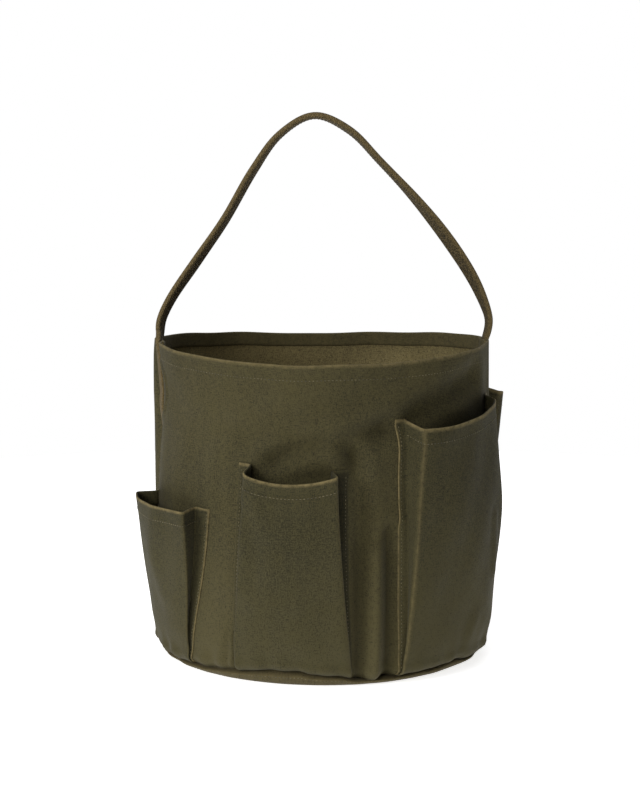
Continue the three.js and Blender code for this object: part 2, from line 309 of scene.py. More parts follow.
def stitch_row(name, node, points, normals, sink=0.1 * MM, body="bag"):
    """A row of lockstitches along a line of points on cloth, each one a short bowed thread sunk a
    little in the cloth. It stands for one thread node of the frame."""
    points, normals = np.asarray(points), np.asarray(normals)
    steps = np.linalg.norm(np.diff(points, axis=0), axis=1)
    length = np.concatenate([[0], np.cumsum(steps)])
    total = length[-1]
    rings, sides = 5, 6  # along and around each stitch
    bow = np.sin(np.linspace(0, math.pi, rings))
    verts, faces = [], []
    number = max(1, int(total / STITCH_PITCH))
    spread = (total - number * STITCH_PITCH) / 2
    for k in range(number):
        start = spread + k * STITCH_PITCH + (STITCH_PITCH - STITCH_LENGTH) / 2
        first = len(verts)
        s = start + STITCH_LENGTH * np.linspace(0, 1, rings)
        centre = np.stack([np.interp(s, length, points[:, i]) for i in range(3)], 1)
        up = np.stack([np.interp(s, length, normals[:, i]) for i in range(3)], 1)
        up /= np.linalg.norm(up, axis=1, keepdims=True)
        along = centre[-1] - centre[0]
        along /= np.linalg.norm(along)
        side = np.cross(along, up)
        for r in range(rings):
            middle = centre[r] + up[r] * (THREAD * 1.3 * bow[r] - 0.6 * THREAD - sink)
            size = THREAD * (0.55 + 0.45 * bow[r])
            for j in range(sides):
                turn = 2 * math.pi * j / sides
                verts.append(middle + size * (math.cos(turn) * side[r] + math.sin(turn) * up[r]))
        for r in range(rings - 1):
            for j in range(sides):
                p, q = first + r * sides + j, first + r * sides + (j + 1) % sides
                faces.append((q, p, p + sides, q + sides))
        faces.append(tuple(first + j for j in range(sides)))
        faces.append(tuple(first + (rings - 1) * sides + j for j in reversed(range(sides))))
    row = new_piece(name, np.array(verts), faces, {}, None, THREAD_FINISH, body)
    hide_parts(node)


def turned_edge():
    """Steps round a folded edge, as (rise over the fold line, offset)."""
    return [(TURN * math.sin(t), -TURN * (1 - math.cos(t))) for t in np.linspace(0, math.pi, 7)[1:]]


def wall_rows():
    """Rows of the wall, up to its folded rim and down the hem inside, as (height, rise over the
    height, offset)."""
    up = [(h, 0.0, 0.0) for h in lerp(SEAM - 2.5 * MM, HEIGHT, np.linspace(0, 1, 96) ** 0.9)]
    turn = [(HEIGHT, rise, off) for rise, off in turned_edge()]
    down = [(HEIGHT - HEM * t, 0.0, -2 * TURN) for t in np.linspace(0, 1, 7)[1:]]
    return up + turn + down


def row_length(grid, axis):
    """Distance along each row or column of a grid, from its start."""
    steps = np.linalg.norm(np.diff(grid, axis=axis), axis=-1)
    start = np.zeros_like(np.take(steps, [0], axis=axis))
    return np.concatenate([start, np.cumsum(steps, axis=axis)], axis=axis)


def grid_uv(grid):
    """Cloth coordinates in metres: across along the middle row, and up along the middle column."""
    rows, columns = grid.shape[:2]
    across = row_length(grid, 1)[rows // 2]
    up = row_length(grid, 0)[:, columns // 2]
    return np.stack(np.broadcast_arrays(across[None, :], up[:, None]), axis=-1)


# ---- materials ----

class Nodes:
    """Builds one material's node tree."""

    def __init__(self, name):
        self.material = bpy.data.materials.new(name)
        self.material.use_nodes = True
        self.tree = self.material.node_tree
        self.shader = self.tree.nodes["Principled BSDF"]

    def add(self, kind, inputs=None, **settings):
        node = self.tree.nodes.new(kind)
        for key, value in settings.items():
            setattr(node, key, value)
        for key, value in (inputs or {}).items():
            self.feed(node.inputs[key], value)
        return node

    def feed(self, socket, value):
        if isinstance(value, bpy.types.NodeSocket):
            self.tree.links.new(value, socket)
        else:
            socket.default_value = value

    def math(self, operation, a, b=0.0, c=0.0):
        node = self.add("ShaderNodeMath", {0: a, 1: b, 2: c}, operation=operation)
        return node.outputs[0]

    def noise(self, vector, scale, detail=3.0, roughness=0.55):
        inputs = {"Vector": vector, "Scale": scale, "Detail": detail, "Roughness": roughness}
        return self.add("ShaderNodeTexNoise", inputs).outputs["Fac"]

    def stretched(self, vector, scale):
        return self.add("ShaderNodeMapping", {"Vector": vector, "Scale": scale}).outputs["Vector"]

    def remap(self, value, low, high, to_low=0.0, to_high=1.0):
        inputs = {"Value": value, "From Min": low, "From Max": high, "To Min": to_low, "To Max": to_high}
        return self.add("ShaderNodeMapRange", inputs, clamp=True).outputs["Result"]

    def blend(self, factor, a, b, how="MIX"):
        node = self.add("ShaderNodeMix", data_type="RGBA", blend_type=how, clamp_factor=True)
        self.feed(node.inputs["Factor"], factor)
        self.feed(node.inputs["A"], a)
        self.feed(node.inputs["B"], b)
        return node.outputs["Result"]


def rgb(red, green, blue):
    """A display colour, 0 to 255, as linear RGBA."""
    return (*[((c / 255 + 0.055) / 1.055) ** 2.4 for c in (red, green, blue)], 1.0)


def weave(nodes, u, v, pitch):
    """Height of a plain weave: threads that pass over and under each other."""
    wave = 2 * math.pi / pitch
    across = nodes.math("SINE", nodes.math("MULTIPLY", u, wave))
    along = nodes.math("SINE", nodes.math("MULTIPLY", v, wave))
    cross = nodes.math("MULTIPLY", across, along)
    ridges = nodes.math("ADD", nodes.math("ABSOLUTE", across), nodes.math("ABSOLUTE", along))
    return nodes.math("ADD", nodes.math("MULTIPLY", cross, 0.5), nodes.math("MULTIPLY", ridges, 0.35))


# Painted light: how much brighter the reverse side is painted, for light inside the bag and pockets.
REVERSE_SIDE_PAINTED_LIGHT = (2.95, 2.78, 2.95, 1.0)  # the reverse side's colour over the outer side's


def canvas_material(name, light, dark, worn):
    """Plain-weave canvas, worn on its edges, with painted light that makes it paler near the ground and
    on its reverse side, and painted shade in its deep folds.
    """
    nodes = Nodes(name)
    place = nodes.add("ShaderNodeTexCoord").outputs["Object"]
    uv = nodes.add("ShaderNodeUVMap", uv_map="cloth").outputs["UV"]
    split = nodes.add("ShaderNodeSeparateXYZ", {"Vector": uv})
    threads = weave(nodes, split.outputs["X"], split.outputs["Y"], 1.4 * MM)
    warp = nodes.noise(nodes.stretched(uv, (1000, 210, 1)), 1.0, 2.0)
    weft = nodes.noise(nodes.stretched(uv, (230, 1000, 1)), 1.0, 2.0)
    cloud = nodes.noise(place, 8.0, 4.0)
    patch = nodes.noise(place, 45.0, 4.0, 0.6)
    slub = nodes.noise(nodes.stretched(uv, (1000, 760, 1)), 1.0, 2.0, 0.6)
    high = nodes.add("ShaderNodeSeparateXYZ", {"Vector": place}).outputs["Z"]
    streak = nodes.noise(nodes.stretched(uv, (170, 9, 1)), 1.0, 2.0)
    tone = nodes.math("ADD", nodes.math("MULTIPLY", threads, 0.4), 0.47)
    grain = [
        (cloud, 0.3, 0.2), (patch, 0.3, 0.08), (streak, 0.3, 0.1), (warp, 0.25, 0.42), (weft, 0.25, 0.38),
        (slub, 0.32, 0.48),
    ]
    for noise, low, amount in grain:
        tone = nodes.math("ADD", tone, nodes.remap(noise, low, 1 - low, -amount, amount))
    # Painted light: the cloth is made paler towards the ground, standing in for light bounced up off the
    # floor.
    tone = nodes.math("ADD", tone, nodes.remap(high, 0.015, 0.12, 0.42, 0.0))
    colour = nodes.blend(tone, dark, light)
    wear_and_painted_shading = nodes.add("ShaderNodeAttribute", attribute_name="wear_and_painted_shading").outputs["Fac"]
    rub = nodes.remap(nodes.noise(place, 240.0, 3.0, 0.7), 0.3, 0.62, 0.25, 1.0)
    colour = nodes.blend(nodes.math("MULTIPLY", wear_and_painted_shading, rub), colour, worn)
    # Painted shade: below 0, the value darkens the cloth in deep folds, pleats and just over the base seam.
    colour = nodes.blend(1.0, colour, nodes.remap(wear_and_painted_shading, -1.0, 0.0, 0.4, 1.0), "MULTIPLY")
    # Painted light: the reverse side, inside the bag and the pockets, is brightened.
    lining = nodes.add("ShaderNodeAttribute", attribute_name="lining").outputs["Fac"]
    colour = nodes.blend(lining, colour, REVERSE_SIDE_PAINTED_LIGHT, "MULTIPLY")
    nodes.feed(nodes.shader.inputs["Base Color"], colour)
    nodes.feed(nodes.shader.inputs["Roughness"], nodes.remap(patch, 0.3, 0.7, 0.76, 0.92))
    nodes.shader.inputs["Specular IOR Level"].default_value = 0.16
    nodes.shader.inputs["Sheen Weight"].default_value = 0.035
    nodes.shader.inputs["Sheen Roughness"].default_value = 0.5
    height = nodes.math("MULTIPLY", threads, 0.55)
    for noise, amount in ((warp, 0.5), (weft, 0.5), (slub, 0.7)):
        height = nodes.math("ADD", height, nodes.math("MULTIPLY", noise, amount))
    bump = nodes.add("ShaderNodeBump", {"Strength": 0.6, "Distance": 0.3 * MM, "Height": height})
    creases = nodes.noise(place, 75.0, 3.0, 0.6)
    inputs = {"Strength": 0.16, "Distance": 1.0 * MM, "Height": creases, "Normal": bump.outputs["Normal"]}
    soft = nodes.add("ShaderNodeBump", inputs)
    nodes.feed(nodes.shader.inputs["Normal"], soft.outputs["Normal"])
    return nodes.material


def webbing_material():
    """Coarse ribbed cotton webbing, with ribs across it and cords along it."""
    rib_pitch, cord_pitch = 2.4 * MM, 2.6 * MM
    nodes = Nodes("webbing")
    uv = nodes.add("ShaderNodeUVMap", uv_map="cloth").outputs["UV"]
    split = nodes.add("ShaderNodeSeparateXYZ", {"Vector": uv})
    picks = nodes.math("SINE", nodes.math("MULTIPLY", split.outputs["Y"], 2 * math.pi / rib_pitch))
    cords = nodes.math("SINE", nodes.math("MULTIPLY", split.outputs["X"], 2 * math.pi / cord_pitch))
    cross = nodes.math("MULTIPLY", picks, cords)
    fibre = nodes.noise(nodes.stretched(uv, (1500, 160, 1)), 1.0, 3.0, 0.7)
    speckle = nodes.noise(nodes.stretched(uv, (420, 520, 1)), 1.0, 2.0, 0.6)
    level = nodes.remap(cross, -1.0, 1.0, 0.28, 0.72)
    level = nodes.math("ADD", level, nodes.remap(fibre, 0.3, 0.7, -0.2, 0.2))
    level = nodes.math("ADD", level, nodes.remap(speckle, 0.34, 0.66, -0.42, 0.42))
    colour = nodes.blend(level, rgb(34, 30, 19), rgb(110, 95, 63))
    wear_and_painted_shading = nodes.add("ShaderNodeAttribute", attribute_name="wear_and_painted_shading").outputs["Fac"]
    colour = nodes.blend(nodes.math("MULTIPLY", wear_and_painted_shading, 0.55), colour, rgb(120, 103, 68))
    nodes.feed(nodes.shader.inputs["Base Color"], colour)
    nodes.shader.inputs["Roughness"].default_value = 0.86
    nodes.shader.inputs["Specular IOR Level"].default_value = 0.15
    nodes.shader.inputs["Sheen Weight"].default_value = 0.04
    height = nodes.math("ADD", nodes.math("MULTIPLY", cross, 0.5), nodes.math("MULTIPLY", fibre, 0.6))
    bump = nodes.add("ShaderNodeBump", {"Strength": 1.0, "Distance": 0.6 * MM, "Height": height})
    nodes.feed(nodes.shader.inputs["Normal"], bump.outputs["Normal"])
    return nodes.material


def thread_material():
    """Twisted thread that is pale in places and soiled in others."""
    nodes = Nodes("thread")
    place = nodes.add("ShaderNodeTexCoord").outputs["Object"]
    fibre = nodes.noise(place, 1400.0, 2.0)
    patch = nodes.noise(place, 150.0, 2.0)
    level = nodes.math("ADD", nodes.math("MULTIPLY", fibre, 0.3), nodes.remap(patch, 0.36, 0.64, -0.1, 0.8))
    colour = nodes.blend(level, rgb(48, 44, 28), rgb(106, 96, 66))
    nodes.feed(nodes.shader.inputs["Base Color"], colour)
    nodes.shader.inputs["Roughness"].default_value = 0.6
    return nodes.material


CANVAS_WALL = canvas_material("wall_canvas", rgb(75, 69, 43), rgb(42, 39, 24), rgb(124, 110, 74))
CANVAS_POCKET = canvas_material("pocket_canvas", rgb(67, 62, 38), rgb(38, 36, 21), rgb(124, 110, 74))
CANVAS_BASE = canvas_material("base_canvas", rgb(80, 72, 47), rgb(48, 43, 27), rgb(106, 94, 62))
WEBBING = webbing_material()
THREAD_FINISH = thread_material()


# ---- walls ----

# The left edge of the front panel as (height in mm, degrees): it follows the strap's end beside it.
FRONT_EDGE = [
    (0, -80), (60, -79), (200, -78), (216, -76.4), (232, -75.9), (246, -77), (265, -80.4), (280, -83.6),
]
FRONT_EDGE_RIGHT = 92.3  # degrees
BACK_EDGE_LEFT = 81.0
BACK_UNDERLAP = 4  # degrees that the back panel goes on under the front one's left edge

# Low on the front panel, the two deep folds between the centre and right pockets, which get painted
# shade, as (degrees, width).
PAINTED_SHADE_FOLDS = [(11.6, 1.8), (22.6, 1.5)]


def panel_span(name, heights):
    """First and last degrees of a wall panel at each height. The back panel lies under the front one."""
    left = smoothed(smoothed(smoothed(at_height(FRONT_EDGE, heights))))
    if name == "front_panel":
        return left, np.full(len(heights), FRONT_EDGE_RIGHT)
    return np.full(len(heights), BACK_EDGE_LEFT), left + 360 + BACK_UNDERLAP


def panel_offset(name, from_first, from_last):
    """How far the panel's cloth stands off, from the degrees to its first and last edges."""
    if name == "front_panel":
        return 0.5 * MM * (1 - ramp(from_first, 0, 4)) + LAP * (1 - ramp(from_last, 7, 14))
    return -0.4 * MM - 1.2 * MM * (1 - ramp(from_last, 3, 6.5))


def painted_fold_shade(name, degrees, height):
    """Painted shade on the cloth low in the deep folds and just over the base seam, from 0 to 1."""
    seam = bell(height, SEAM - 2 * MM, 3.5 * MM)
    folds = sum(bell(degrees, centre, width) for centre, width in PAINTED_SHADE_FOLDS)
    low = 1 - ramp(height, 80 * MM, 170 * MM)
    return np.maximum(folds * low * (name == "front_panel"), seam)


def wall_panel(name):
    rows = wall_rows()
    first, last = panel_span(name, np.array([h for h, _, _ in rows]))
    share = np.linspace(0, 1, 361)
    grid, painted_shade_rows = [], []
    for (height, rise, off), start, end in zip(rows, first, last):
        degrees = lerp(start, end, share)
        painted_shade_rows.append(painted_fold_shade(name, degrees, height))
        stand = panel_offset(name, degrees - start, end - degrees)
        line = wall_point(np.radians(degrees), np.full(len(share), height), WALL_MIDDLE + off + stand)
        line[:, 2] += rise
        grid.append(line)
    grid = np.array(grid)
    from_rim = np.abs(np.array([h + r for h, r, _ in rows]) - HEIGHT)
    inside = np.array([off for _, _, off in rows]) < -0.8 * TURN
    # Painted light: the hem inside the rim is made paler; the fold on the rim itself is rubbed light.
    rim_wear_and_painted_light = np.where(inside, 0.22, 0.8 * bell(from_rim, 0.2 * MM, 0.35 * MM))
    side_wear = 0.85 * bell(share, 0, 0.00204)
    # Painted shade in the deep folds and just over the base seam is taken off the wear.
    wear_and_painted_shading = np.maximum(rim_wear_and_painted_light[:, None], side_wear[None, :]) - 0.6 * np.array(painted_shade_rows)
    return cloth(name + "_cloth", grid, wear_and_painted_shading, grid_uv(grid), CANVAS_WALL)


def outward(angle):
    """Level unit vectors that point away from the bag's axis."""
    return np.stack([np.sin(angle), -np.cos(angle), 0 * angle], 1)


def rim_stitches():
    for word, first, last in (("front", -83, 83), ("back", 97, 263)):
        angle = np.radians(np.linspace(first, last, 300))
        points = wall_point(angle, HEIGHT - RIM_STITCH_DROP, 0.0)
        stitch_row(f"rim_stitches_{word}", f"rim_thread_{word}", points, outward(angle), PRESSED)


def front_edge_points(side, inset, heights):
    """Points and normals on the front panel's outer face, some degrees in from one of its side edges."""
    left, right = panel_span("front_panel", heights)
    degrees = left + inset if side < 0 else right - inset
    stand = panel_offset("front_panel", degrees - left, right - degrees)
    angle = np.radians(degrees)
    return wall_point(angle, heights, stand), outward(angle)


def side_seam_stitches():
    heights = np.linspace(SEAM + 4 * MM, HEIGHT - 3 * MM, 120)
    for word, side in (("left", -1), ("right", 1)):
        points, normals = front_edge_points(side, 0.9, heights)
        stitch_row(f"side_seam_stitches_{word}", f"side_seam_thread_{word}", points, normals)


def base_side(t, angle):
    """Points round the base's turned-up edge, at a level from 0 at the floor to 1 at the seam."""
    bulge = math.sin(min(t * 1.25, 1) * math.pi / 2)
    ripple = 0.5 * np.sin(19 * angle) + 0.4 * np.sin(33 * angle + 2)
    radius = FOOT_RADIUS * 0.985 + ((6.3 + ripple) * bulge - 7.2 * max(0, t - 0.72) / 0.28) * MM
    height = 0.6 * MM + (seam_height(angle) + 0.4 * MM) * (1 - math.cos(t * math.pi / 2)) ** 0.75
    return np.stack([radius * np.sin(angle), -radius * np.cos(angle), height], 1)


def base_cloth():
    """The round base, with its edge turned up to the base seam."""
    angle = np.radians(np.linspace(-180, 180, 361))
    grid = []
    for radius in FOOT_RADIUS * np.linspace(0.02, 0.965, 16):
        grid.append(np.stack([radius * np.sin(angle), -radius * np.cos(angle), 0.6 * MM + 0 * angle], 1))
    grid += [base_side(t, angle) for t in np.linspace(0, 1, 16)]
    grid = np.array(grid)
    wear_and_painted_shading = np.zeros(grid.shape[:2])
    wear_and_painted_shading[-6:-3] = 0.3
    return cloth("base_cloth", grid, wear_and_painted_shading, grid[..., :2], CANVAS_BASE)


def base_stitches():
    angle = np.radians(np.linspace(-180, 180, 500))
    points = base_side(0.63, angle) + outward(angle) * CANVAS / 2
    stitch_row("base_seam_stitches", "base_seam_thread", points, outward(angle), PRESSED)


# ---- pockets ----

# Each pocket: sewn edges in degrees at the mouth and at the foot; heights in mm of the mouth at the
# left edge, left fold, middle, right fold and right edge; how far the mouth stands off; how slowly it
# closes towards the foot; the inner and outer folds of the left and right pleat, in mm from the sewn
# edge at the mouth; how far each sewn edge bows, in degrees; how round and how worn each fold is, and
# how much painted shade darkens each pleat (dark); how worn each sewn edge is; and how far the mouth's
# right corner is drawn in.
POCKETS = {
    "pocket_low_front": dict(
        mouth=(-81.5, -39.3), foot=(-84, -50.5), heights=(146.5, 146, 145, 146, 147),
        depth=21.5, closing=1.0, pleats=((9, 7), (17, 10)), bulge=2.2,
        bow=(0, 1.5), round=(4, 2), worn=(0.1, 0.08), dark=(0, 0.2), edges=(0.4, 1.0), drawn=0,
    ),
    "pocket_middle_front": dict(
        mouth=(-27.4, 8.3), foot=(-30.5, 10), heights=(191.5, 187, 179.5, 186.5, 188),
        depth=22, closing=0.8, pleats=((12.5, 12), (14, 10.5)), bulge=2.0,
        bow=(0, -0.7), round=(14, 3), worn=(0.0, 0.12), dark=(0.1, 0.9), edges=(0.05, 0.45), drawn=0,
    ),
    "pocket_tall_front": dict(
        mouth=(24.8, 76.5), foot=(25.7, 76), heights=(228.5, 222, 223.5, 231.5, 234),
        depth=21, closing=0.6, pleats=((8, 12.6), (10, 10)), bulge=1.5,
        bow=(0, 0), round=(6, 8), worn=(0.35, 0.15), dark=(0, 0.2), edges=(1.0, 0.4), drawn=0.45,
    ),
    "pocket_tall_back": dict(
        mouth=(92.8, 149), foot=(95, 146), heights=(234, 229.5, 224, 224, 230),
        depth=18.5, closing=1.5, pleats=((9, 7), (12, 11)), bulge=0.8,
        bow=(0, 0.6), round=(3, 6), worn=(0.15, 0.1), dark=(0.2, 0.3), edges=(0.5, 0.5), drawn=0,
    ),
    "pocket_middle_back": dict(
        mouth=(165, 203), foot=(163, 204), heights=(190, 186, 180, 186, 190),
        depth=20, closing=0.85, pleats=((12, 11), (12, 12)), bulge=2.2,
        bow=(-0.6, 0.4), round=(5, 4), worn=(0.12, 0.15), dark=(0.3, 0.3), edges=(0.5, 0.5), drawn=0,
    ),
    "pocket_low_back": dict(
        mouth=(212, 245), foot=(213.5, 243), heights=(147, 145, 142, 145, 147),
        depth=18, closing=1.0, pleats=((12, 11), (12, 10)), bulge=2.0,
        bow=(0.5, 0), round=(4, 6), worn=(0.1, 0.12), dark=(0.2, 0.3), edges=(0.5, 0.5), drawn=0,
    ),
}
FLANGE_STEPS, SIDE_STEPS, FACE_STEPS = 9, 12, 52
FLANGE_OFF = 0.65 * MM  # middle of the sewn flange over the wall
FOOT_STACK = 2.1 * MM  # the folded pleat's layers at the foot
STITCH_INSET = 2.2 * MM


def polyline(points, steps):
    """Points along straight stretches, with the given number of steps in each."""
    line = []
    for (a, b), n in zip(zip(points, points[1:]), steps):
        for t in np.linspace(0, 1, n, endpoint=False):
            line.append((lerp(a[0], b[0], t), lerp(a[1], b[1], t)))
    line.append(points[-1])
    return np.array(line)


def pocket_plan(pocket, rise):
    """The pocket's line around the bag at one level, as (distance along the wall, distance off it)."""
    arch = 4 * rise * (1 - rise)
    edges = zip(pocket["foot"], pocket["mouth"], pocket["bow"])
    start, end = (lerp(foot, mouth, rise) + arch * bow for foot, mouth, bow in edges)
    width = math.radians(end - start) * RADIUS
    off = lerp(FOOT_STACK, pocket["depth"] * MM, rise ** pocket["closing"])
    (knee_l, fold_l), (knee_r, fold_r) = pocket["pleats"]
    open_part = rise ** 0.75
    fold_l = lerp(-0.8, fold_l, open_part) * MM
    fold_r = lerp(-0.8, fold_r, open_part) * MM
    knee_l, knee_r = (lerp(8, knee, rise) * MM for knee in (knee_l, knee_r))
    knee_off = FLANGE_OFF + 0.5 * MM
    drawn = pocket["drawn"] * ramp(rise, 0.55, 1.0)
    corners = [
        (0.0, FLANGE_OFF), (knee_l, knee_off), (fold_l, off),
        (width - fold_r - 9 * MM * drawn, off * (1 - drawn)), (width - knee_r, knee_off),
        (width, FLANGE_OFF),
    ]
    plan = polyline(corners, (FLANGE_STEPS, SIDE_STEPS, FACE_STEPS, SIDE_STEPS, FLANGE_STEPS))
    across = np.clip((plan[:, 0] - fold_l) / (width - fold_l - fold_r), 0, 1)
    on_face = np.zeros(len(plan))
    on_face[FLANGE_STEPS + SIDE_STEPS:FLANGE_STEPS + SIDE_STEPS + FACE_STEPS] = 1
    swell = (pocket["bulge"] * math.sin(math.pi * rise) + 0.5 * rise) * MM
    plan[:, 1] += on_face * swell * np.sin(across * math.pi)
    middle = len(plan) // 2
    for passes, half in zip(pocket["round"], (slice(0, middle), slice(middle, None))):
        for _ in range(passes):
            plan[half] = smoothed(plan)[half]
    return start, plan


def mouth_height(pocket):
    """Height of the mouth along the pocket's line."""
    heights = [h * MM for h in pocket["heights"]]
    left = np.full(FLANGE_STEPS, heights[0])
    left_side = lerp(heights[0], heights[1], np.linspace(0, 1, SIDE_STEPS, endpoint=False))
    t = np.linspace(0, 1, FACE_STEPS, endpoint=False)
    chord = lerp(heights[1], heights[3], t)
    sag = heights[2] - (heights[1] + heights[3]) / 2
    face = chord + sag * np.sin(t * math.pi) ** 0.8
    right_side = lerp(heights[3], heights[4], np.linspace(0, 1, SIDE_STEPS, endpoint=False))
    return np.concatenate([left, left_side, face, right_side, np.full(FLANGE_STEPS + 1, heights[4])])


def pocket_line(pocket, rise, extra, off, seed):
    """One level of a pocket's cloth: rise 0 to 1, extra height, and offset outwards from its middle."""
    start, plan = pocket_plan(pocket, rise)
    tangent = np.gradient(plan, axis=0)
    tangent /= np.linalg.norm(tangent, axis=1, keepdims=True)
    normal = np.stack([-tangent[:, 1], tangent[:, 0]], 1)
    place = plan + normal * off
    angle = math.radians(start) + place[:, 0] / RADIUS
    height = lerp(SEAM, mouth_height(pocket), rise) + extra
    up, across = height / MM, place[:, 0] / MM
    drape = 0.55 * np.sin(across / 11 + up / 31 + seed) + 0.35 * np.sin(across / 7 - up / 17 + seed)
    free = np.clip(place[:, 1] / (12 * MM), 0, 1)
    return wall_point(angle, height, place[:, 1] + drape * MM * free)


def pocket_grid(pocket, seed):
    """Rows as (rise, extra height, offset), and the grid of points of the pocket's cloth."""
    tall = pocket["heights"][2] * MM - SEAM
    rows = [(rise, 0.0, 0.0) for rise in np.linspace(0, 1, 74)]
    rows += [(1.0, extra, off) for extra, off in turned_edge()]
    rows += [(1 - HEM * t / tall, 0.0, -2 * TURN) for t in np.linspace(0, 1, 7)[1:]]
    return rows, np.array([pocket_line(pocket, rise, extra, off, seed) for rise, extra, off in rows])


def pocket_wear_and_painted_shade(rows, columns, pocket):
    """Rubbed light on the mouth, the folds and the sewn edges, and painted shade deep in the pleats."""
    rises, offs = (np.array([row[i] for row in rows]) for i in (0, 2))
    mouth = 0.9 * bell(rises, 1, 0.004) * (offs > -0.8 * TURN)
    along = np.arange(columns)
    folds = [FLANGE_STEPS + SIDE_STEPS, FLANGE_STEPS + SIDE_STEPS + FACE_STEPS]
    fold = sum(share * bell(along, f, 0.9) for share, f in zip(pocket["worn"], folds))
    edge = sum(share * bell(along, e, 0.8) for share, e in zip(pocket["edges"], (0, columns - 1)))
    # The dark entry sets the painted shade deep in the left and right pleats.
    left, right = pocket["dark"]
    painted_pleat_shade = left * bell(along, FLANGE_STEPS + 3, 5) + right * bell(along, columns - 6, 8)
    return np.maximum(mouth[:, None], np.maximum(fold, edge)[None, :]) - painted_pleat_shade[None, :]


def pocket_piece(name, seed):
    pocket = POCKETS[name]
    rows, grid = pocket_grid(pocket, seed)
    wear_and_painted_shading = pocket_wear_and_painted_shade(rows, grid.shape[1], pocket)
    piece = cloth(name + "_cloth", grid, wear_and_painted_shading, grid_uv(grid), CANVAS_POCKET)
    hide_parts(name)
    pocket_stitches(name, pocket, seed)
    return piece


def surface_line(lines):
    """Points and outward normals along a line, from the lines of points on either side of it."""
    before, on, after = lines
    along = np.gradient(on, axis=0)
    normal = np.cross(along, after - before)
    normal /= np.linalg.norm(normal, axis=1, keepdims=True)
    return on, normal


def pocket_stitches(name, pocket, seed):
    """The row under the mouth, and a row up each sewn edge."""
    outside = CANVAS / 2
    tall = pocket["heights"][2] * MM - SEAM
    level = 1 - POCKET_STITCH_DROP / tall
    step = 1.5 * MM / tall
    lines = [pocket_line(pocket, level + k * step, 0.0, outside, seed) for k in (-1, 0, 1)]
    on, normal = surface_line(lines)
    first, last = FLANGE_STEPS - 2, len(on) - FLANGE_STEPS + 2
    stitch_row(f"{name}_hem_stitches", f"{name}_hem_thread", on[first:last], normal[first:last])
    levels = np.linspace(0.03, 0.985, 90)
    for word, end in (("left", 0), ("right", -1)):
        points, normals = [], []
        for rise in levels:
            start, plan = pocket_plan(pocket, rise)
            inset = STITCH_INSET if end == 0 else plan[-1, 0] - STITCH_INSET
            angle = math.radians(start) + inset / RADIUS
            height = lerp(SEAM, mouth_height(pocket)[end], rise)
            points.append(wall_point(angle, height, FLANGE_OFF + outside + 0.05 * MM))
            normals.append((math.sin(angle), -math.cos(angle), 0.0))
        stitch_row(f"{name}_{word}_stitches", f"{name}_{word}_thread", points, normals, 0.22 * MM)


# ---- handle ----

# The strap's centre line in mm as (x, z) from the left rim to the right rim, and its turn in degrees
# about that line, 90 where its flat side faces the front.
STRAP_LINE = [
    (-147, 288), (-146.3, 298), (-137.5, 317.5), (-112.5, 354), (-87.5, 390), (-61.5, 434.5), (-38, 466),
    (-7, 483), (25, 469.5), (51, 443.5), (84.5, 408), (113.5, 372), (137, 336), (149, 309),
    (151.5, 299), (150, 288),
]
STRAP_TURN = [
    (0, -6), (0.02, -13), (0.06, -17), (0.15, -22), (0.2, -18), (0.27, -15), (0.34, -15), (0.42, -7),
    (0.49, -3), (0.55, -9), (0.61, -6), (0.67, -8), (0.72, -17), (0.78, -28), (0.83, -31), (0.89, -27),
    (0.94, -17), (0.96, -9), (0.98, -4), (1, -3),
]
STRAP_WIDTH = 17 * MM
STRAP_THICKNESS = 5.5 * MM
TAIL_THICKNESS = 3.2 * MM  # pressed flat in the seam
TAIL_STAND = {"left": 2.4 * MM, "right": 1.6 * MM}  # how far its middle stands off the wall
TAIL_SINK = 3.6 * MM  # how much deeper its foot lies, between the panels
EDGE_PITCH = 1.7 * MM  # of the weft's loops along the webbing's edges
SLIT = 2.2 * MM  # depth of the slit between the folded webbing's edges
STRAP_STEP = 0.8 * MM


def catmull_rom(points, per_span):
    """A smooth line through points, sampled per_span times between each two."""
    p = [2 * points[0] - points[1], *points, 2 * points[-1] - points[-2]]
    line = []
    for i in range(1, len(p) - 2):
        knots = [0.0]
        for k in range(3):
            knots.append(knots[-1] + np.linalg.norm(p[i + k] - p[i + k - 1]) ** 0.5)
        for t in np.linspace(knots[1], knots[2], per_span, endpoint=False):
            outer = [between(p[i - 1 + k], p[i + k], knots[k], knots[k + 1], t) for k in range(3)]
            inner = [between(outer[k], outer[k + 1], knots[k], knots[k + 2], t) for k in range(2)]
            line.append(between(*inner, knots[1], knots[2], t))
    line.append(points[-1])
    return np.array(line)


def between(a, b, low, high, t):
    return a * ((high - t) / (high - low)) + b * ((t - low) / (high - low))


def strap_tail(side):
    """The strap's sewn end, from its foot up, lying on the wall in the side seam."""
    heights = np.linspace(STRAP_TAIL_FOOT, HEIGHT - 2 * MM, 40)
    angle = np.radians(at_height(SEAM_LINES[side], heights))
    sunk = TAIL_SINK * (1 - ramp(heights, STRAP_TAIL_FOOT, STRAP_TAIL_FOOT + 22 * MM))
    return wall_point(angle, heights, TAIL_STAND[side] - sunk)


def strap_route():
    """The strap's centre line with its two ends down the side seams, evenly spaced, and the share of
    each point along the loop (0 and 1 at the rim, beyond them in the seams)."""
    loop = catmull_rom([np.array([x, 0.0, z]) * MM for x, z in STRAP_LINE], 40)
    left, right = strap_tail("left"), strap_tail("right")
    route = np.concatenate([left, loop, right[::-1]])
    length = np.concatenate([[0], np.cumsum(np.linalg.norm(np.diff(route, axis=0), axis=1))])
    even = np.arange(0, length[-1], STRAP_STEP)
    route = np.stack([np.interp(even, length, route[:, i]) for i in range(3)], 1)
    tail = HEIGHT + 6 * MM - STRAP_TAIL_FOOT
    for _ in range(40):
        route[1:-1] = smoothed(route)[1:-1]
    share = (even - tail) / (even[-1] - 2 * tail)
    return route, even, share


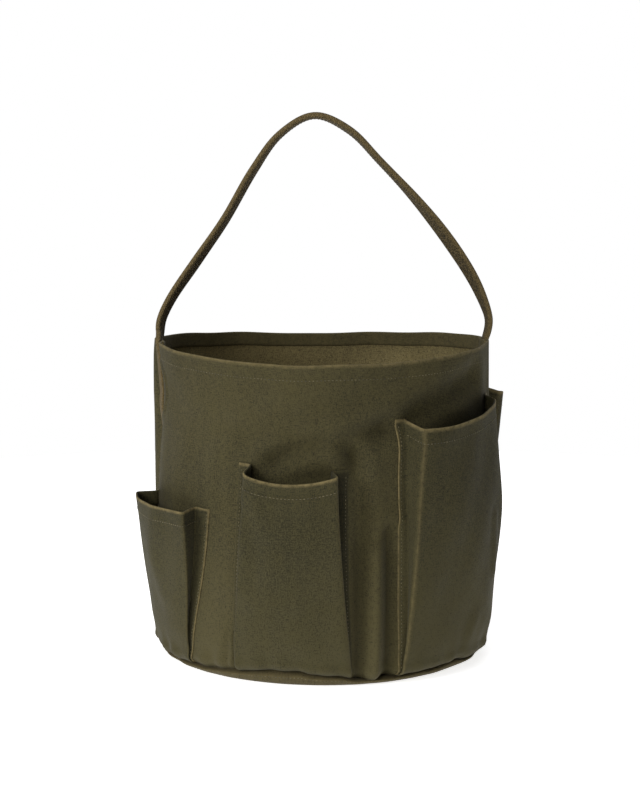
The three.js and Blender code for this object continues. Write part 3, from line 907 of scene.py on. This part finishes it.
def strap_section(flatness):
    """Outline of the folded webbing: two layers joined at a round fold on one side, with a slit
    between their edges on the other. Flatness 0 is the handle, 1 the pressed end in the seam."""
    count = 36
    half_width = STRAP_WIDTH / 2
    half_thick = lerp(STRAP_THICKNESS, TAIL_THICKNESS, flatness) / 2
    outline = []
    for k in range(count):
        turn = 2 * math.pi * k / count
        c, s = math.cos(turn), math.sin(turn)
        x = half_width * math.copysign(abs(c) ** 0.45, c)
        y = half_thick * math.copysign(abs(s) ** 0.6, s)
        if c > 0.55:
            x -= SLIT * bell(s, 0, 0.16) * (1 - 0.6 * flatness)
        outline.append((x, y))
    return np.array(outline)


def strap_frame(route, share):
    """Unit vectors across the width and the thickness of the strap along its route, and how far it is
    pressed flat, from 0 on the handle to 1 in the seam."""
    tangent = np.gradient(route, axis=0)
    tangent /= np.linalg.norm(tangent, axis=1, keepdims=True)
    lean = 0.22 * (1 - ramp(route[:, 2], 250 * MM, 300 * MM)) * (route[:, 0] < 0)
    across = np.stack([-lean, np.ones(len(route)), np.zeros(len(route))], 1)
    inward = np.cross(tangent, across)
    inward /= np.linalg.norm(inward, axis=1, keepdims=True)
    depth = np.cross(inward, tangent)
    turn = np.radians(np.interp(share, [k[0] for k in STRAP_TURN], [k[1] for k in STRAP_TURN]))
    for _ in range(200):
        turn = smoothed(turn)
    turn = turn * ramp(share, -0.03, 0.01) * ramp(1 - share, -0.03, 0.01)
    flatness = 1 - ramp(share, -0.06, 0.01) * ramp(1 - share, -0.06, 0.01)
    wide = np.cos(turn)[:, None] * depth + np.sin(turn)[:, None] * inward
    return wide, np.cross(tangent, wide), flatness


def strap_piece(route, even, wide, thick, flatness):
    rings, wear_and_painted_shading, uv = [], [], []
    for k in range(len(route)):
        section = strap_section(flatness[k])
        pick = 1 + 0.012 * math.sin(even[k] / EDGE_PITCH * 2 * math.pi)
        x, y = section.T * pick
        rings.append(route[k] + np.outer(x, wide[k]) + np.outer(y, thick[k]))
        from_middle = np.clip(np.abs(section[:, 0]) / (STRAP_WIDTH / 2), 0, 1)
        wear_and_painted_shading.append(np.maximum(0.8 * from_middle ** 8, 0.5 * flatness[k]))
        around = np.concatenate([[0], np.cumsum(np.linalg.norm(np.diff(section, axis=0), axis=1))])
        uv.append(np.stack([around, np.full(len(section), even[k])], 1))
    sides = len(rings[0])
    points = np.concatenate(rings)
    faces = []
    for k in range(len(rings) - 1):
        for j in range(sides):
            p, q = k * sides + j, k * sides + (j + 1) % sides
            faces.append((p, q, q + sides, p + sides))
    faces.append(tuple(reversed(range(sides))))
    faces.append(tuple((len(rings) - 1) * sides + j for j in range(sides)))
    attributes = {"wear_and_painted_shading": np.concatenate(wear_and_painted_shading)}
    strap = new_piece("strap_webbing", points, faces, attributes, np.concatenate(uv), WEBBING, None)
    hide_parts("handle_strap", "strap_end_left", "strap_end_right")
    return strap


def build_handle():
    """The webbing from foot to foot, with the row of thread that closes its fold on either face."""
    route, even, share = strap_route()
    wide, thick, flatness = strap_frame(route, share)
    strap = strap_piece(route, even, wide, thick, flatness)
    keep = (share > 0.06) & (share < 0.94)
    for word, side in (("outer", 1), ("inner", -1)):
        out = thick * side
        points = route + wide * (STRAP_WIDTH / 2 - 3.4 * MM) + out * (STRAP_THICKNESS / 2 - 0.05 * MM)
        name = f"handle_stitches_{word}"
        stitch_row(name, "handle_edge_thread", points[keep], out[keep], 0.3 * MM, "handle")
    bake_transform(strap)


def strap_tacks():
    """A box of stitches over each sewn end of the strap, through the front panel beside the seam. Its
    corners are in degrees from the panel's edge and metres up."""
    low, high = HEIGHT - 23 * MM, HEIGHT - 8 * MM
    near, far = 1.6, 5.8
    corners = [(near, low), (far, low), (far, high), (near, high), (near, low)]
    sides = [np.linspace(a, b, 12, endpoint=False) for a, b in zip(corners, corners[1:])]
    insets, heights = np.concatenate(sides).T
    for word, side in (("left", -1), ("right", 1)):
        points, normals = front_edge_points(side, insets, heights)
        stitch_row(f"strap_tack_stitches_{word}", f"strap_tack_{word}", points, normals)


# ---- stage, light and camera ----

def build_stage():
    mesh = bpy.data.meshes.new("floor")
    around = [2 * math.pi * k / 96 for k in range(96)]
    mesh.from_pydata([(1.15 * math.cos(a), 1.15 * math.sin(a), 0) for a in around], [], [range(96)])
    paper = Nodes("floor_paper")
    paper.shader.inputs["Base Color"].default_value = rgb(252, 252, 252)
    paper.shader.inputs["Roughness"].default_value = 0.9
    paper.shader.inputs["Emission Color"].default_value = (1, 1, 1, 1)
    paper.shader.inputs["Emission Strength"].default_value = 0.74
    mesh.materials.append(paper.material)
    floor = bpy.data.objects.new("floor", mesh)
    bpy.context.scene.collection.objects.link(floor)


def area_light(name, place, target, size, power):
    lamp = bpy.data.lights.new(name, "AREA")
    lamp.shape = "DISK"
    lamp.size = size
    lamp.energy = power
    light = bpy.data.objects.new(name, lamp)
    light.location = place
    light.rotation_euler = (Vector(target) - Vector(place)).to_track_quat("-Z", "Y").to_euler()
    bpy.context.scene.collection.objects.link(light)


def build_light():
    """A big soft key from the left, a soft top light, and weak fills in front and behind."""
    world = bpy.data.worlds.new("studio")
    world.use_nodes = True
    tree = world.node_tree
    tree.nodes["Background"].inputs["Color"].default_value = (1, 1, 1, 1)
    tree.nodes["Background"].inputs["Strength"].default_value = 0.155
    paper = tree.nodes.new("ShaderNodeBackground")
    paper.inputs["Color"].default_value = (1, 1, 1, 1)
    seen = tree.nodes.new("ShaderNodeLightPath")
    mix = tree.nodes.new("ShaderNodeMixShader")
    tree.links.new(seen.outputs["Is Camera Ray"], mix.inputs["Fac"])
    tree.links.new(tree.nodes["Background"].outputs["Background"], mix.inputs[1])
    tree.links.new(paper.outputs["Background"], mix.inputs[2])
    tree.links.new(mix.outputs["Shader"], tree.nodes["World Output"].inputs["Surface"])
    bpy.context.scene.world = world
    middle = (0, 0, HEIGHT / 2)
    area_light("key", (-2.0, -1.6, 1.1), middle, 1.1, 32)
    area_light("top", (-0.3, -0.2, 2.5), middle, 1.6, 25)
    area_light("front_fill", (-0.95, -2.45, 1.15), middle, 1.0, 12.5)
    area_light("back_fill", (0.8, 2.4, 1.4), middle, 1.6, 17)


# The camera stands in front of the bag and a little above it, with a long lens.
CAMERA_PLACE = (-1.9 * MM, -1600 * MM, 435 * MM)
CAMERA_PITCH = 7.43
LENS_PER_HEIGHT = 1768 / 800  # focal length over the sensor's height


def build_camera():
    data = bpy.data.cameras.new("camera")
    data.sensor_fit = "VERTICAL"
    data.sensor_height = 36
    data.lens = data.sensor_height * LENS_PER_HEIGHT
    camera = bpy.data.objects.new("camera", data)
    camera.location = CAMERA_PLACE
    camera.rotation_euler = (math.radians(90 - CAMERA_PITCH), 0, 0)
    bpy.context.scene.collection.objects.link(camera)
    bpy.context.scene.camera = camera
    bpy.context.scene.view_settings.view_transform = "Standard"


# ---- assembly ----

# Flat sizes of the cut cloth, in metres.
WALL_CUTS = {"front_panel": (0.470, 0.300), "back_panel": (0.550, 0.300)}


def build_walls():
    for name, flat in WALL_CUTS.items():
        piece = wall_panel(name)
        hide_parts(name)
    base = base_cloth()
    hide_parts("base_panel")
    rim_stitches()
    side_seam_stitches()
    base_stitches()


def build_pockets():
    for seed, name in enumerate(POCKETS):
        piece = pocket_piece(name, 1.7 * seed)


build_camera()
build_light()
build_stage()
build_walls()
build_pockets()
build_handle()
strap_tacks()
